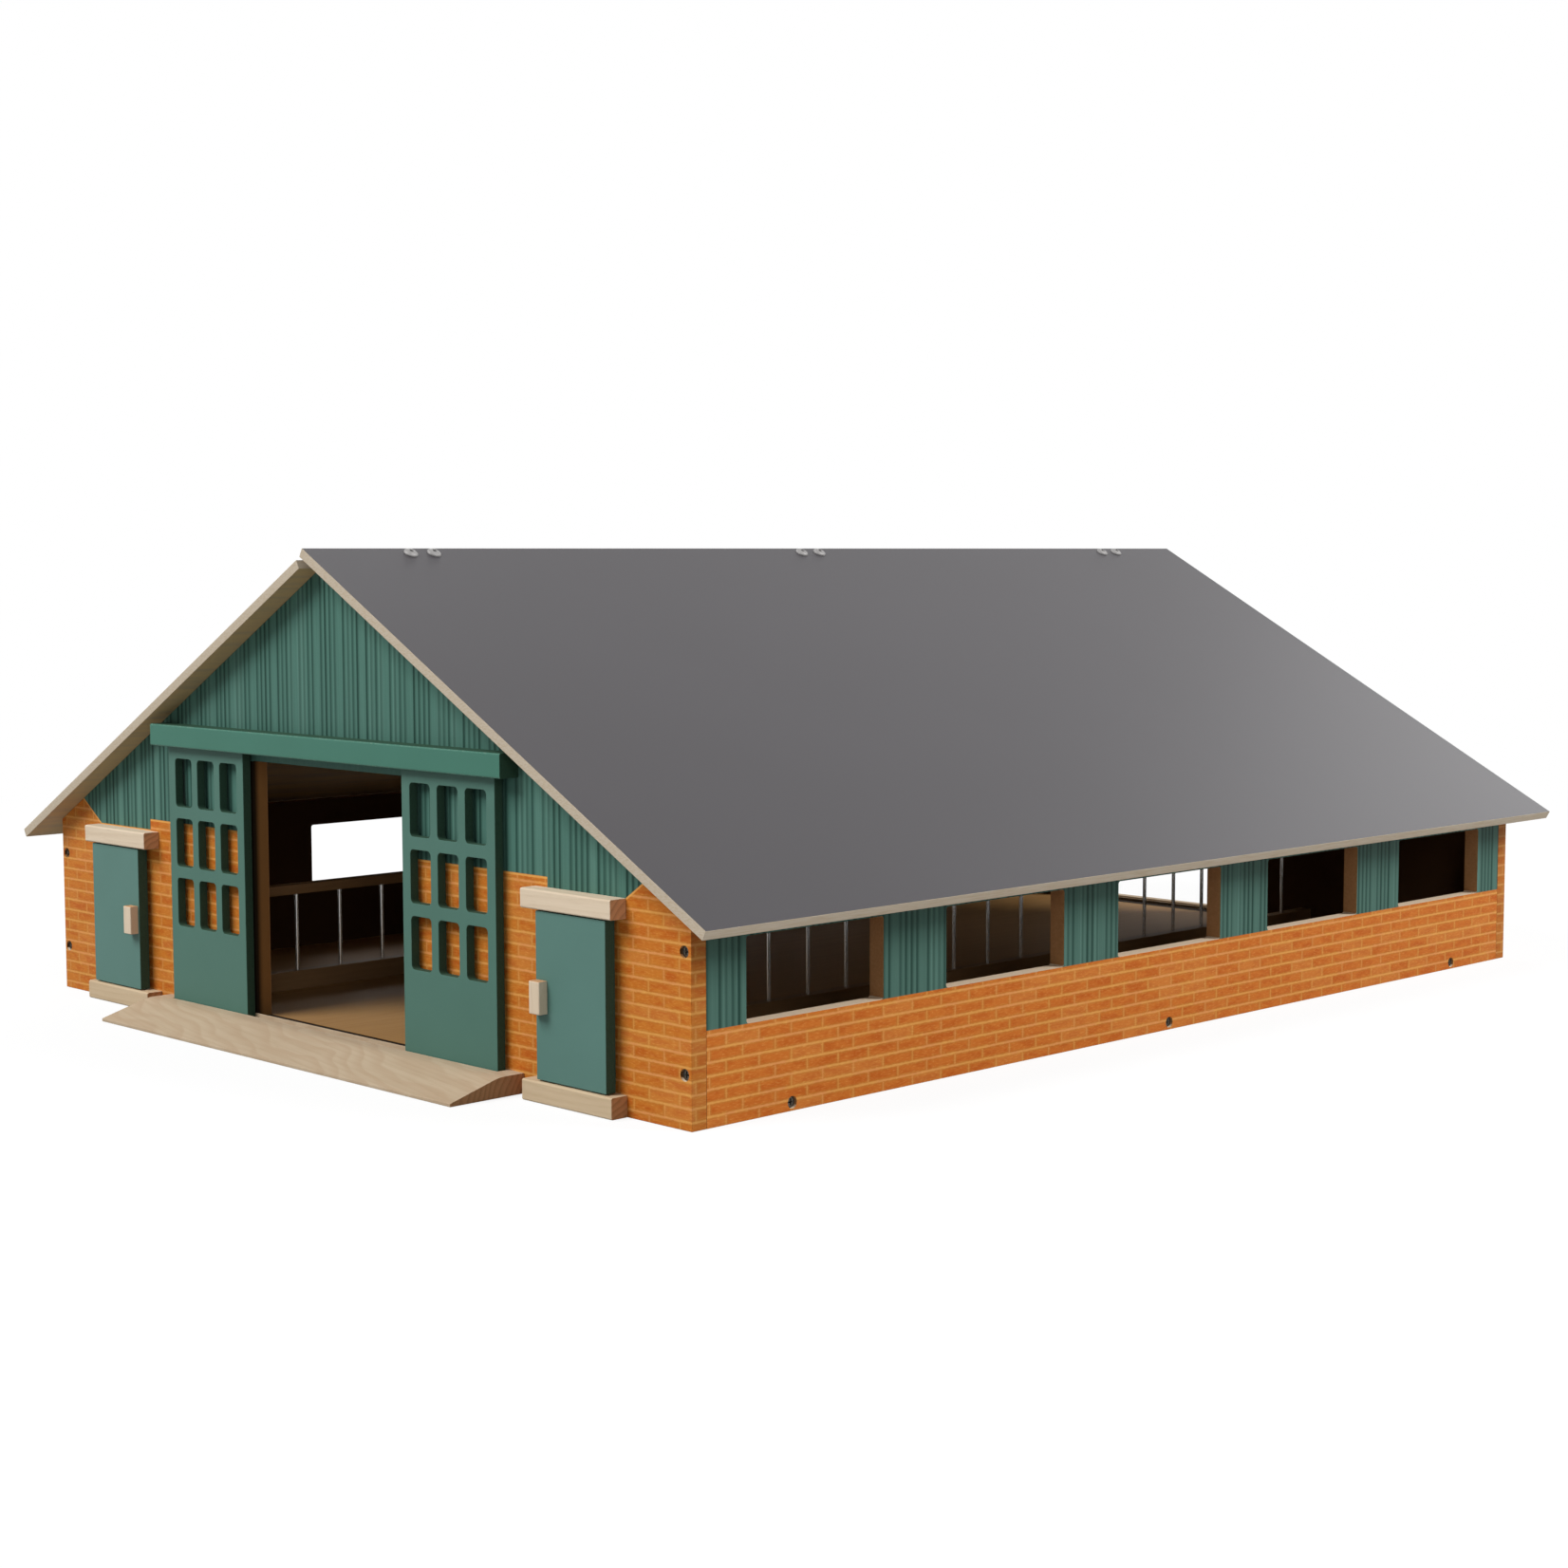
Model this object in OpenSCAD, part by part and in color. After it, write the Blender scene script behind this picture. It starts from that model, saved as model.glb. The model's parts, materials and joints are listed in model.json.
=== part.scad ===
// Toy barn, 1:32: a printed board shell with sliding doors, small swing doors and a roof panel that lifts.
// The front looks along -Y, +X is to the right and the origin is the middle of the floor board's underside.

/* [Barn] */
// Outside width across the side walls
barn_w = 546; // [500:1:600]
// Outside length from gable face to gable face
barn_l = 695; // [600:1:900]
// Thickness of the two gable boards
gable_t = 9; // [6:0.5:12]
// Thickness of the two side walls
wall_t = 9; // [6:0.5:12]
// Thickness of the floor board
floor_t = 8; // [6:0.5:9]

/* [Roof] */
// Slope of both roof panels in degrees
roof_pitch = 28.85; // [24:0.05:34]
// Gap between the upper corners of a door track and the roof slope
roof_clear = 3.4; // [0.5:0.1:12]
// Thickness of the roof panels
roof_t = 5; // [3.5:0.5:8]
// How far the panels reach past each gable
verge = 12.5; // [0:0.5:30]
// How far the panels reach past the side walls, measured level
eave_reach = 23; // [5:0.5:40]
// Gap under the lifting panel where it lies on the gables
seat_gap = 0.3; // [0.2:0.1:1]

/* [Roof hinges] */
// Number of hinges along the ridge
hinge_count = 3; // [2:1:5]
// Distance from the middle of an end hinge to the gable's outer face
hinge_inset = 59; // [35:1:120]
// Length of a hinge along the ridge
hinge_l = 27; // [23:0.5:40]
// Width of a hinge leaf, from the pin's axis down the slope
leaf_w = 15.5; // [13:0.5:20]
// Thickness of a hinge leaf
leaf_t = 0.8; // [0.6:0.1:1]
// Radius of the hinge knuckles
knuckle_r = 1.7; // [1.5:0.1:2.5]
// Radius of the hinge pins
hinge_pin_r = 0.8; // [0.6:0.05:1]
// Radial play of a turning part on its pin
pin_play = 0.06; // [0.02:0.01:0.1]
// Gap between knuckles, and between a knuckle and the other leaf's panel
knuckle_gap = 0.35; // [0.3:0.05:0.8]
// Reach of the fixed panel past the hinge pin, up the slope
ridge_lap = 0.5; // [0:0.1:1]
// Distance of the lifting panel's upper edge from the hinge pin, down the slope
ridge_set = 3.7; // [1:0.1:4.5]
// Distance between the two rivets of a leaf
rivet_pitch = 15; // [12:0.5:16]
// Distance of the rivets from the hinge pin, down the slope
rivet_reach = 9.5; // [8:0.5:12]
// Radius of a rivet's domed head
rivet_head_r = 3.8; // [2:0.1:4.2]
// Height of a rivet's domed head
rivet_head_h = 1.8; // [1:0.1:2.4]
// Radius of a rivet's shank
rivet_r = 1.5; // [1:0.1:1.8]

/* [Main doorways] */
// Width of a doorway
doorway_w = 140.4; // [120:0.2:156]
// Height of a doorway's head above the table
doorway_top = 145.4; // [128:0.2:160]
// Corner radius of the doorway's head
doorway_r = 1.5; // [0.5:0.5:6]

/* [Sliding doors] */
// How far a closed sliding door covers the gable beside the doorway
slider_cover = 3.3; // [1:0.1:10]
// Thickness of a sliding door
slider_t = 5; // [4:0.5:6]
// Gap between a sliding door and the gable
slider_gap = 1.3; // [0.5:0.1:2.5]
// Play of a sliding door in its grooves
slider_play = 0.5; // [0.3:0.1:1]
// Gap between the two sliding doors when they meet
meeting_gap = 0.6; // [0.4:0.1:2]
// Window panes across a door
pane_cols = 3; // [1:1:4]
// Window panes up a door
pane_rows = 3; // [1:1:4]
// Width of the stiles at a door's two sides
stile_w = 6.6; // [4:0.1:12]
// Width of the bars between the panes
pane_bar_w = 5.8; // [3:0.1:8]
// Height of the bars between the panes
pane_bar_h = 6.5; // [3:0.1:9]
// Height of the plain lower part of a door
lower_panel_h = 44.7; // [20:0.1:60]
// Height of a door's top rail
top_rail_h = 13; // [9:0.1:20]
// Corner radius of a pane
pane_r = 2.3; // [0.5:0.1:4]

/* [Door track] */
// Height of the gable that shows between the doorway's head and the track
track_gap = 4.6; // [3:0.1:12]
// Length of the closed end of a track, past the doors' groove
track_end = 9.8; // [4:0.1:20]
// Height of the track batten
track_h = 12; // [10:0.5:16]
// Thickness of the lip in front of the doors
track_lip = 4.5; // [2.5:0.1:5]
// How deep the doors reach up into the track
track_tuck = 6.4; // [4:0.1:7]

/* [Ramp] */
// Length of the closed end of a ramp, past the doors' groove
ramp_end = 11.8; // [4:0.1:20]
// Depth of a ramp, out from the gable
ramp_d = 44; // [36:0.5:70]
// Height of a ramp's flat top
ramp_h = 9.9; // [9:0.1:12]
// Depth of the flat top
ramp_flat = 15; // [12:0.5:20]
// Height of a ramp's front edge
ramp_toe = 1.7; // [1:0.1:4]
// Radius where the flat top turns into the slope
ramp_crest_r = 24; // [5:1:40]
// How deep the doors reach down into the ramp's groove
ramp_tuck = 3.4; // [2:0.1:4]

/* [Person doors] */
// Width of a person door
person_w = 49.4; // [44:0.1:54]
// Height of a person door
person_h = 79.4; // [70:0.1:80]
// Thickness of a person door
person_t = 6; // [5:0.5:7]
// Gap between a person door and the gable
person_gap = 2.2; // [2:0.1:3]
// Gap above and below a person door
person_play = 0.6; // [0.4:0.1:1.5]
// How far a person door covers the gable round its doorway
person_lap = 4.4; // [2:0.1:6]
// Radius of a door pin
door_pin_r = 1; // [0.8:0.1:1.5]
// Distance of the pins from the door's outer edge
door_pin_inset = 3.5; // [3:0.1:3.8]
// Length of a pin inside the lintel or the step
door_pin_hold = 5; // [3:0.5:7]
// Length of a pin inside the door
door_pin_root = 9; // [6:0.5:14]

/* [Lintels and steps] */
// Width of a lintel and of a step
block_w = 64; // [62:0.5:70]
// Depth of a lintel and of a step, out from the gable
block_d = 9.7; // [9:0.1:12]
// Height of a lintel
lintel_h = 9.4; // [8:0.2:11]
// Height of a step
step_h = 10.2; // [9:0.2:12]
// Gap between a ramp's end and the step beside it
block_gap = 10; // [2:0.5:14]
// How far the person doors sit outwards from the blocks' middle
block_shift = 2; // [0:0.1:3]
// Chamfer on the lintels, steps and tracks
block_chamfer = 0.6; // [0.2:0.1:1.2]

/* [Handles] */
// Width of a handle block
handle_w = 7.6; // [5:0.1:10]
// Height of a handle block
handle_h = 15.6; // [10:0.1:22]
// Depth of a handle block
handle_d = 5.1; // [3:0.1:8]
// Distance of a handle from the door's free edge
handle_inset = 0.8; // [0.5:0.1:8]
// Height of a handle's middle above the door's lower edge
handle_z = 39.5; // [25:0.5:60]
// Chamfer round a handle's front
handle_chamfer = 0.4; // [0.2:0.1:1.5]

/* [Side windows] */
// Windows in each side wall
window_count = 5; // [2:1:6]
// Width of the wall between two windows
pillar_w = 44.5; // [20:0.5:60]
// Width of the wall between a gable and the window next to it
end_pillar_w = 24.5; // [20:0.5:60]
// Height of the window sills above the table
window_sill = 44.2; // [30:0.2:50]
// Height of the wall above the windows
wall_head_h = 15.8; // [8:0.2:20]
// Corner radius of the windows
window_r = 1.5; // [0.5:0.5:5]

/* [Feed fences] */
// Distance of each fence from the barn's middle
fence_x = 132; // [100:0.5:150]
// Width of a fence's curb and rail
fence_w = 8; // [6:0.5:12]
// Height of the curb above the floor
curb_h = 10.5; // [7:0.5:14]
// Height of the rail's underside above the floor
rail_z = 54.5; // [35:0.5:70]
// Height of the rail
rail_h = 5.5; // [5:0.5:9]
// Bars in each fence
bar_count = 22; // [2:1:40]
// Distance of the end bars from the gables
bar_end = 28.75; // [4:0.25:60]
// Radius of a bar
bar_r = 1.1; // [0.8:0.1:2]
// How deep a bar is set into the curb and the rail
bar_set = 3.5; // [2:0.5:4]
// Radial play of the bars in their holes
bar_play = 0.05; // [0.02:0.01:0.2]

/* [Screws] */
// Radius of a screw's shank
screw_r = 1.5; // [1:0.1:1.8]
// Radius of a screw's head
screw_head_r = 2.8; // [2.2:0.1:3.2]
// Height of a screw's head
screw_head_h = 1.6; // [1:0.1:2]
// Length of a screw's shank
screw_l = 24; // [16:0.5:40]
// How far the screw heads lie below the board's face
screw_sink = 1.2; // [0.4:0.1:2]
// Radial play of the screws in their holes
screw_play = 0.05; // [0.02:0.01:0.2]
// Height of the lower gable screws above the table
lower_screw_z = 25; // [10:0.5:40]
// Depth of the upper gable screws below the side wall's top
upper_screw_drop = 19.8; // [8:0.2:40]
// Distance of the end floor screws from the gables' outer faces
floor_screw_inset = 62.5; // [40:0.5:120]

/* [Hidden] */
$fn = 32;
eps = 1;

brick = "#c07a3c";
green = "#5a7b72";
natural_wood = "#c7b8a0";
roof_grey = "#6a686a";
steel = "#c4c6c8";

inside_w = barn_w - 2 * wall_t;
inside_l = barn_l - 2 * gable_t;
half_w = barn_w / 2;
half_l = barn_l / 2;

// Sliding doors, their grooves, the tracks and the ramps
slider_w = doorway_w / 2 + slider_cover;
slider_front = slider_gap + slider_t;
groove_d = slider_front + slider_play;
groove_half_l = doorway_w / 2 + slider_w + slider_play;
track_z = doorway_top + track_gap;
track_d = groove_d + track_lip;
track_l = 2 * (groove_half_l + track_end);
ramp_w = 2 * (groove_half_l + ramp_end);
slider_bottom = ramp_h - ramp_tuck;
slider_h = track_z + track_tuck - slider_bottom;
pane_w = (slider_w - 2 * stile_w - (pane_cols - 1) * pane_bar_w) / pane_cols;
pane_h = (slider_h - lower_panel_h - top_rail_h - (pane_rows - 1) * pane_bar_h) / pane_rows;

// The roof slope clears the tracks. The undersides of the two panels would meet at the ridge.
cos_p = cos(roof_pitch);
sin_p = sin(roof_pitch);
ridge_z = track_z + track_h + roof_clear + track_l / 2 * sin_p / cos_p;
eave_h = ridge_z - half_w * sin_p / cos_p;
roof_l = barn_l + 2 * verge;

// Hinge pin: below the lifting panel and above the fixed one by the same clear radius
knuckle_clear_r = knuckle_r + knuckle_gap;
hinge_dz = (roof_t + seat_gap) / (2 * cos_p);
hinge_dx = (roof_t - seat_gap + 2 * knuckle_clear_r) / (2 * sin_p);
lifting_pin_u = -hinge_dx * cos_p - hinge_dz * sin_p;
fixed_pin_u = hinge_dx * cos_p - hinge_dz * sin_p;

// Upper and lower edges of the panels, measured down the slope from the ridge
lifting_top_u = lifting_pin_u + ridge_set;
fixed_top_u = fixed_pin_u - ridge_lap;
lifting_eave_u = (half_w + eave_reach - (roof_t + seat_gap) * sin_p) / cos_p;
fixed_eave_u = (half_w + eave_reach - roof_t * sin_p) / cos_p;

// Person doors, their pins and the blocks that hold them
person_bottom = step_h + person_play;
person_top = person_bottom + person_h;
lintel_z = person_top + person_play;
block_x = ramp_w / 2 + block_gap + block_w / 2;
person_x = block_x + block_shift;
person_mid_y = person_gap + person_t / 2;
door_pin_x = person_x + person_w / 2 - door_pin_inset;

rail_bottom = floor_t + rail_z;
curb_top = floor_t + curb_h;
bar_l = rail_bottom - curb_top + 2 * bar_set;
bar_pitch = (inside_l - 2 * bar_end) / (bar_count - 1);

window_w = (inside_l - 2 * end_pillar_w - (window_count - 1) * pillar_w) / window_count;
window_head = eave_h - wall_head_h;
floor_screw_y = half_l - floor_screw_inset;

// Puts children modelled on the front gable's face at the front or the back of the barn
module at_end(back) {
    rotate([0, 0, back ? 180 : 0]) translate([0, -half_l, 0]) children();
}

// Mirrors children modelled on the right to the left
module on_side(left) {
    mirror([left ? 1 : 0, 0, 0]) children();
}

// A flat outline in X and Z, thickened from depth y0 out to depth y1 in front of the gable's face
module facing(y0, y1) {
    translate([0, -y0, 0]) rotate([90, 0, 0]) linear_extrude(y1 - y0) children();
}

// A rectangle with round corners, from its lower left corner
module rounded(w, h, r) {
    translate([r, r]) square([w - 2 * r, h - 2 * r]);
    translate([r, 0]) square([w - 2 * r, h]);
    translate([0, r]) square([w, h - 2 * r]);
    for (x = [r, w - r], z = [r, h - r]) translate([x, z]) circle(r);
}

// A rectangle with chamfered corners, from its lower left corner
module chamfered(w, h, c) {
    polygon([[c, 0], [w - c, 0], [w, c], [w, h - c], [w - c, h], [c, h], [0, h - c], [0, c]]);
}

// Countersunk screw, its head's top at the origin and its shank along +Z
module screw() {
    cylinder(h = screw_head_h, r1 = screw_head_r, r2 = screw_r);
    cylinder(h = screw_l, r = screw_r);
}

// The hole that a screw needs, from the board's face inwards along +Z
module screw_hole() {
    translate([0, 0, -eps]) cylinder(h = screw_sink + eps, r = screw_head_r + screw_play);
    translate([0, 0, screw_sink])
        cylinder(h = screw_head_h, r1 = screw_head_r + screw_play, r2 = screw_r + screw_play);
    translate([0, 0, screw_sink]) cylinder(h = screw_l, r = screw_r + screw_play);
}

module at_gable_screws() {
    for (back = [false, true], left = [false, true], z = [lower_screw_z, eave_h - upper_screw_drop])
        at_end(back) on_side(left) translate([half_w - wall_t / 2, 0, z]) rotate([-90, 0, 0]) children();
}

module at_floor_screws() {
    for (left = [false, true], y = [-floor_screw_y, 0, floor_screw_y])
        on_side(left) translate([half_w, y, floor_t / 2]) rotate([0, -90, 0]) children();
}

module floor_board() {
    color(natural_wood) difference() {
        translate([-inside_w / 2, -inside_l / 2, 0]) cube([inside_w, inside_l, floor_t]);
        at_floor_screws() screw_hole();
    }
}

// Gable outline up to the roof slope
module gable_outline() {
    polygon([[-half_w, 0], [half_w, 0], [half_w, eave_h], [0, ridge_z], [-half_w, eave_h]]);
}

module doorway_outline() {
    translate([-doorway_w / 2, floor_t]) rounded(doorway_w, doorway_top - floor_t, doorway_r);
    translate([-doorway_w / 2, floor_t]) square([doorway_w, 2 * doorway_r]);
}

module person_doorway_outline() {
    w = person_w - 2 * person_lap;
    translate([person_x - w / 2, step_h]) square([w, person_top - person_lap - step_h]);
}

module gable(back) {
    color(brick) difference() {
        at_end(back) facing(-gable_t, 0) difference() {
            gable_outline();
            doorway_outline();
            if (!back) for (left = [false, true]) on_side(left) person_doorway_outline();
        }
        at_gable_screws() screw_hole();
    }
}

module side_wall(left) {
    color(brick) difference() {
        on_side(left) translate([half_w - wall_t, 0, 0]) rotate([90, 0, 90]) linear_extrude(wall_t)
            difference() {
                translate([-inside_l / 2, 0]) square([inside_l, eave_h]);
                for (i = [0 : window_count - 1])
                    translate([-inside_l / 2 + end_pillar_w + i * (window_w + pillar_w), window_sill])
                        rounded(window_w, window_head - window_sill, window_r);
            }
        at_gable_screws() screw_hole();
        at_floor_screws() screw_hole();
    }
}

// Frame of a roof panel: X runs down the slope from the ridge, Z stands square to the panel
module on_slope(left) {
    on_side(left) translate([0, 0, ridge_z]) rotate([0, roof_pitch, 0]) children();
}

module at_hinges() {
    reach = half_l - hinge_inset;
    for (i = [0 : hinge_count - 1])
        translate([0, -reach + i * 2 * reach / (hinge_count - 1), 0]) children();
}

module at_rivets(pin_u) {
    at_hinges() for (side = [-1, 1]) translate([pin_u + rivet_reach, side * rivet_pitch / 2, 0]) children();
}

module roof_panel(left, top_u, eave_u, base, pin_u) {
    color(roof_grey) on_slope(left) difference() {
        translate([top_u, -roof_l / 2, base]) cube([eave_u - top_u, roof_l, roof_t]);
        at_rivets(pin_u) translate([0, 0, base - eps]) cylinder(h = roof_t + 2 * eps, r = rivet_r);
    }
}

// Hinge leaf with its knuckles, its pin along Y at the origin and the panel's face at height face_z.
// The leaf lies on the side of that face that looks to the pin, and turns or grips in a bore of radius bore_r.
module hinge_leaf(face_z, knuckles, bore_r) {
    knuckle_l = (hinge_l - 2 * knuckle_gap) / 3;
    z0 = face_z > 0 ? face_z - leaf_t : face_z;
    difference() {
        union() {
            translate([knuckle_clear_r, -hinge_l / 2, z0]) cube([leaf_w - knuckle_clear_r, hinge_l, leaf_t]);
            for (k = knuckles) translate([0, k * (knuckle_l + knuckle_gap) - knuckle_l / 2, 0]) {
                rotate([-90, 0, 0]) cylinder(h = knuckle_l, r = knuckle_r);
                translate([0, 0, z0]) cube([knuckle_clear_r + eps, knuckle_l, leaf_t]);
            }
        }
        translate([0, -hinge_l / 2 - eps, 0]) rotate([-90, 0, 0]) cylinder(h = hinge_l + 2 * eps, r = bore_r);
        for (side = [-1, 1]) translate([rivet_reach, side * rivet_pitch / 2, z0 - eps])
            cylinder(h = leaf_t + 2 * eps, r = rivet_r);
    }
}

module fixed_hinge_leaves() {
    color(steel) on_slope(true) at_hinges()
        translate([fixed_pin_u, 0, roof_t + knuckle_clear_r])
            hinge_leaf(-knuckle_clear_r, [-1, 1], hinge_pin_r);
}

module lifting_hinge_leaves() {
    color(steel) on_slope(false) at_hinges()
        translate([lifting_pin_u, 0, seat_gap - knuckle_clear_r])
            hinge_leaf(knuckle_clear_r, [0], hinge_pin_r + pin_play);
}

module hinge_pins() {
    color(steel) on_slope(false) at_hinges()
        translate([lifting_pin_u, -hinge_l / 2, seat_gap - knuckle_clear_r])
            rotate([-90, 0, 0]) cylinder(h = hinge_l, r = hinge_pin_r);
}

// Blind rivet through a stack from z = 0 up to the given height, with its domed head on top
module rivet(grip) {
    mandrel_r = rivet_r / 2;
    set_r = rivet_r * 1.45;
    dome_r = (rivet_head_r * rivet_head_r + rivet_head_h * rivet_head_h) / (2 * rivet_head_h);
    difference() {
        union() {
            translate([0, 0, -rivet_head_h]) cylinder(h = rivet_head_h, r = set_r);
            cylinder(h = grip, r = rivet_r);
            translate([0, 0, grip]) rotate_extrude() intersection() {
                translate([0, rivet_head_h - dome_r]) circle(dome_r, $fn = 96);
                square([rivet_head_r, rivet_head_h]);
            }
        }
        translate([0, 0, grip + rivet_head_h / 3]) cylinder(h = rivet_head_h, r = mandrel_r);
    }
}

module fixed_rivets() {
    color(steel) on_slope(true) at_rivets(fixed_pin_u) rivet(roof_t + leaf_t);
}

module lifting_rivets() {
    color(steel) on_slope(false) at_rivets(lifting_pin_u)
        translate([0, 0, seat_gap - leaf_t]) rivet(roof_t + leaf_t);
}

// Track batten with a groove for the door tops, closed at both ends
module door_track(back) {
    groove_h = track_tuck + slider_play;
    color(green) at_end(back) difference() {
        translate([track_l / 2, 0, track_z]) rotate([0, -90, 0]) linear_extrude(track_l)
            polygon([[0, 0], [track_h, 0], [track_h, -track_d + block_chamfer],
                [track_h - block_chamfer, -track_d], [block_chamfer, -track_d], [0, -track_d + block_chamfer]]);
        translate([-groove_half_l, -groove_d, track_z - eps]) cube([2 * groove_half_l, groove_d + eps, groove_h + eps]);
    }
}

// Ramp profile: X is the depth out from the gable and Y the height
module ramp_outline() {
    slope_a = atan2(ramp_h - ramp_toe, ramp_d - ramp_flat);
    tangent = ramp_crest_r * tan(slope_a / 2);
    start = ramp_flat - tangent;
    crest = [for (i = [0 : 6]) let (a = slope_a * i / 6)
        [start + ramp_crest_r * sin(a), ramp_h - ramp_crest_r * (1 - cos(a))]];
    polygon(concat([[0, 0], [0, ramp_h]], crest, [[ramp_d, ramp_toe], [ramp_d, 0]]));
}

module ramp(back) {
    groove_depth = ramp_tuck + slider_play;
    color(natural_wood) at_end(back) difference() {
        translate([-ramp_w / 2, 0, 0]) rotate([90, 0, -90]) mirror([0, 0, 1]) linear_extrude(ramp_w) ramp_outline();
        translate([-groove_half_l, -groove_d, ramp_h - groove_depth])
            cube([2 * groove_half_l, groove_d - slider_gap + slider_play, groove_depth + eps]);
    }
}

// Sliding door on the right of a doorway, fully open
module sliding_door(back, left) {
    color(green) at_end(back) on_side(left) facing(slider_gap, slider_front)
        translate([doorway_w / 2, slider_bottom]) difference() {
            square([slider_w, slider_h]);
            for (i = [0 : pane_cols - 1], j = [0 : pane_rows - 1])
                translate([stile_w + i * (pane_w + pane_bar_w), lower_panel_h + j * (pane_h + pane_bar_h)])
                    rounded(pane_w, pane_h, pane_r);
        }
}

module at_door_pin() {
    translate([door_pin_x, -person_mid_y, 0]) children();
}

// Person door, drilled for its two pins
module person_door(left) {
    color(green) at_end(false) on_side(left) difference() {
        translate([person_x - person_w / 2, -person_gap - person_t, person_bottom])
            cube([person_w, person_t, person_h]);
        at_door_pin() {
            translate([0, 0, person_bottom - eps]) cylinder(h = door_pin_root + eps, r = door_pin_r);
            translate([0, 0, person_top - door_pin_root]) cylinder(h = door_pin_root + eps, r = door_pin_r);
        }
    }
}

module door_pins(left) {
    color(steel) at_end(false) on_side(left) at_door_pin() {
        pin_l = door_pin_root + person_play + door_pin_hold;
        translate([0, 0, person_bottom + door_pin_root - pin_l]) cylinder(h = pin_l, r = door_pin_r);
        translate([0, 0, person_top - door_pin_root]) cylinder(h = pin_l, r = door_pin_r);
    }
}

// Handle block with a chamfer round its front face
module door_handle(left) {
    z = person_bottom + handle_z - handle_h / 2;
    x = person_x - person_w / 2 + handle_inset;
    y = person_gap + person_t;
    c = handle_chamfer;
    color(natural_wood) at_end(false) on_side(left) translate([x, -y - handle_d, z]) intersection() {
        linear_extrude(handle_h)
            polygon([[0, handle_d], [0, c], [c, 0], [handle_w - c, 0], [handle_w, c], [handle_w, handle_d]]);
        rotate([90, 0, 90]) linear_extrude(handle_w)
            polygon([[handle_d, 0], [c, 0], [0, c], [0, handle_h - c], [c, handle_h], [handle_d, handle_h]]);
    }
}

// Wood block on the gable, with chamfered front edges, that holds one end of a person door
module block(left, z, h) {
    color(natural_wood) at_end(false) on_side(left) difference() {
        translate([block_x - block_w / 2, 0, z]) rotate([90, 0, 90]) linear_extrude(block_w)
            translate([-block_d, 0]) chamfered(block_d + block_chamfer, h, block_chamfer);
        translate([block_x - block_w / 2 - eps, 0, z - eps]) cube([block_w + 2 * eps, block_d, h + 2 * eps]);
        children();
    }
}

module lintel(left) {
    block(left, lintel_z, lintel_h) at_door_pin() translate([0, 0, lintel_z - eps])
        cylinder(h = door_pin_hold + pin_play + eps, r = door_pin_r + pin_play);
}

module step(left) {
    block(left, 0, step_h) at_door_pin() translate([0, 0, step_h - door_pin_hold - pin_play])
        cylinder(h = door_pin_hold + pin_play + eps, r = door_pin_r + pin_play);
}

module at_bars(left) {
    on_side(left) for (i = [0 : bar_count - 1])
        translate([fence_x, -inside_l / 2 + bar_end + i * bar_pitch, curb_top - bar_set]) children();
}

module feed_beam(left, z, h) {
    color(natural_wood) difference() {
        on_side(left) translate([fence_x - fence_w / 2, -inside_l / 2, z]) cube([fence_w, inside_l, h]);
        at_bars(left) cylinder(h = bar_l, r = bar_r + bar_play);
    }
}

module feed_bars(left) {
    color(steel) at_bars(left) cylinder(h = bar_l, r = bar_r);
}

module gable_screws() {
    color(steel) at_gable_screws() translate([0, 0, screw_sink]) screw();
}

module floor_screws() {
    color(steel) at_floor_screws() translate([0, 0, screw_sink]) screw();
}

floor_board();
gable(false);  // front_gable
gable(true);  // back_gable
side_wall(true);  // left_wall
side_wall(false);  // right_wall
roof_panel(true, fixed_top_u, fixed_eave_u, 0, fixed_pin_u);  // left_roof_panel
roof_panel(false, lifting_top_u, lifting_eave_u, seat_gap, lifting_pin_u);  // right_roof_panel
fixed_hinge_leaves();
lifting_hinge_leaves();
hinge_pins();
fixed_rivets();
lifting_rivets();
door_track(false);  // front_door_track
door_track(true);  // back_door_track
ramp(false);  // front_ramp
ramp(true);  // back_ramp
sliding_door(false, true);  // front_left_sliding_door
sliding_door(false, false);  // front_right_sliding_door
sliding_door(true, false);  // back_left_sliding_door
sliding_door(true, true);  // back_right_sliding_door
person_door(true);  // left_person_door
person_door(false);  // right_person_door
door_handle(true);  // left_door_handle
door_handle(false);  // right_door_handle
door_pins(true);  // left_door_pins
door_pins(false);  // right_door_pins
lintel(true);  // left_lintel
lintel(false);  // right_lintel
step(true);  // left_step
step(false);  // right_step
feed_beam(true, floor_t, curb_h);  // left_feed_curb
feed_beam(false, floor_t, curb_h);  // right_feed_curb
feed_beam(true, rail_bottom, rail_h);  // left_feed_rail
feed_beam(false, rail_bottom, rail_h);  // right_feed_rail
feed_bars(true);  // left_feed_bars
feed_bars(false);  // right_feed_bars
gable_screws();
floor_screws();
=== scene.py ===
"""Looks of the toy barn: printed boards, painted doors, bare wood, a grey roof and its steel fittings.

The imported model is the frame. Boards, doors and blocks are copies of its pieces with eased edges, the
small fittings are modelled anew, and every piece gets a procedural finish. Lengths are in metres, and
patterns are worked out in millimetres.
"""

import json
import math

import bmesh
import bpy
from bpy.props import FloatProperty, FloatVectorProperty, IntProperty, PointerProperty
from mathutils import Matrix, Quaternion, Vector


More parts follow.
